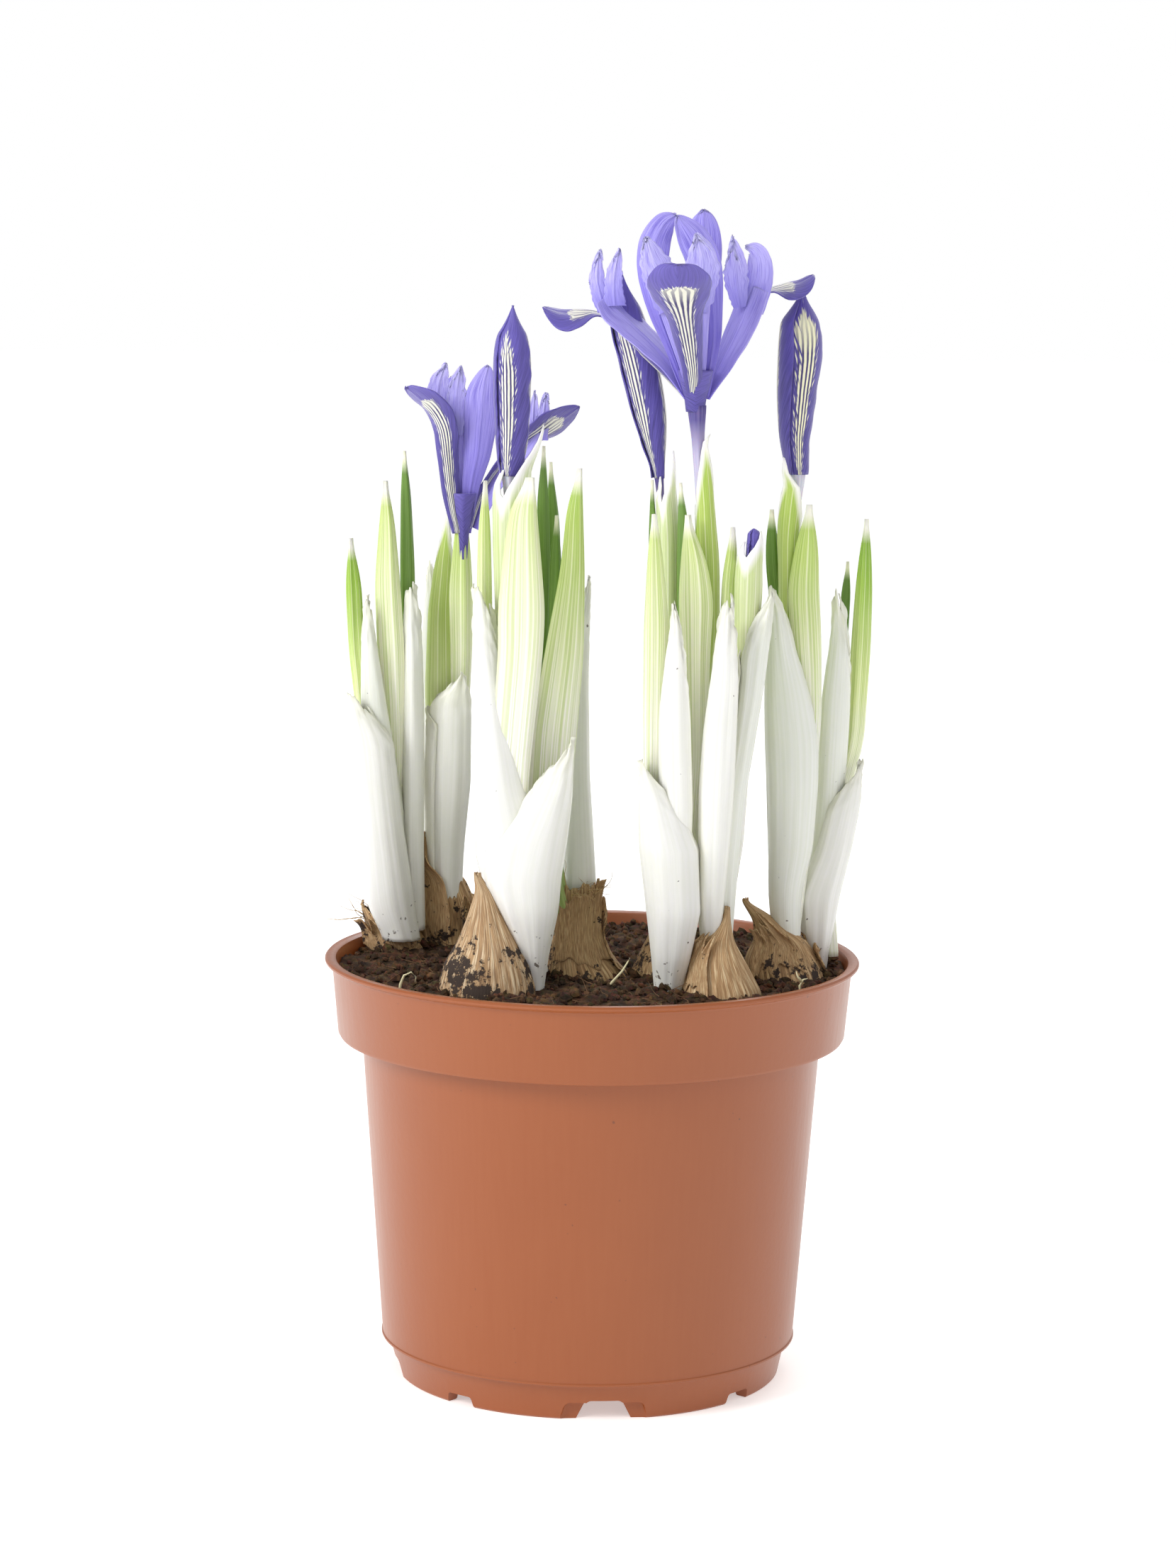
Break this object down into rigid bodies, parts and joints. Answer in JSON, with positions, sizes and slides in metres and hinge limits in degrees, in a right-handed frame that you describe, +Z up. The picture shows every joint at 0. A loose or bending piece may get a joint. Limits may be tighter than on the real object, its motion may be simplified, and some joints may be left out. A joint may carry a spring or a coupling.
{
  "type": "potted iris",
  "caption": "Dwarf irises in flower and bud growing from bulbs in a round terracotta-coloured nursery pot that stands on a flat foot ring.",
  "frame": {"origin": "the pot's axis at the level that its foot ring stands on", "axes": "+Z up, -Y to the front where the open flower's front petal hangs, +X to the right"},
  "size_m": [0.1214, 0.12, 0.2616],
  "materials": {
    "terracotta_plastic": "injection-moulded, satin, orange-brown",
    "soil": "dark fibrous potting soil, matte and crumbly",
    "tunic": "dry papery bulb tunic, tan, with fibres along it",
    "sheath": "fleshy white sheath leaf, faintly ribbed, satin",
    "leaf": "young leaf, green at the tip and white towards the foot, veined",
    "green_leaf": "narrow mature leaf, mid green with a cream point, four-angled",
    "bract": "thin pale green bract with translucent edges",
    "petal": "dark violet petal with a striped white signal, velvety",
    "pale_petal": "light violet-blue petal, satin, thin"
  },
  "bodies": {
    "root": {"bract_1": "bract", "bract_2": "bract", "bract_3": "bract", "bract_4": "bract", "bract_5": "bract", "bract_6": "bract", "bulb_1": "tunic", "bulb_2": "tunic", "bulb_3": "tunic", "bulb_4": "tunic", "bulb_5": "tunic", "bulb_6": "tunic", "bulb_7": "tunic", "flower_1_crown": "pale_petal", "flower_1_fall_front": "petal", "flower_1_fall_left": "petal", "flower_1_fall_right": "petal", "flower_1_tube": "pale_petal", "flower_2": "petal", "flower_3": "petal", "flower_4": "petal", "flower_5_crown": "pale_petal", "flower_5_falls": "petal", "flower_6": "petal", "leaf_1a": "leaf", "leaf_1b": "leaf", "leaf_1c": "green_leaf", "leaf_2a": "leaf", "leaf_3a": "leaf", "leaf_3b": "leaf", "leaf_3c": "green_leaf", "leaf_3d": "green_leaf", "leaf_3e": "green_leaf", "leaf_3f": "leaf", "leaf_4a": "leaf", "leaf_4b": "leaf", "leaf_4c": "green_leaf", "leaf_4d": "green_leaf", "leaf_5a": "leaf", "leaf_6a": "green_leaf", "leaf_6b": "leaf", "leaf_7a": "green_leaf", "leaf_7b": "leaf", "pot": "terracotta_plastic", "potting_soil": "soil", "sheath_1_left": "sheath", "sheath_1_outer": "sheath", "sheath_1_right": "sheath", "sheath_2_back": "sheath", "sheath_2_outer": "sheath", "sheath_3_back": "sheath", "sheath_3_left": "sheath", "sheath_3_right": "sheath", "sheath_4_inner": "sheath", "sheath_4_outer": "sheath", "sheath_5_front": "sheath", "sheath_5_right": "sheath", "sheath_6": "sheath", "sheath_7_inner": "sheath", "sheath_7_outer": "sheath"}
  },
  "joints": []
}
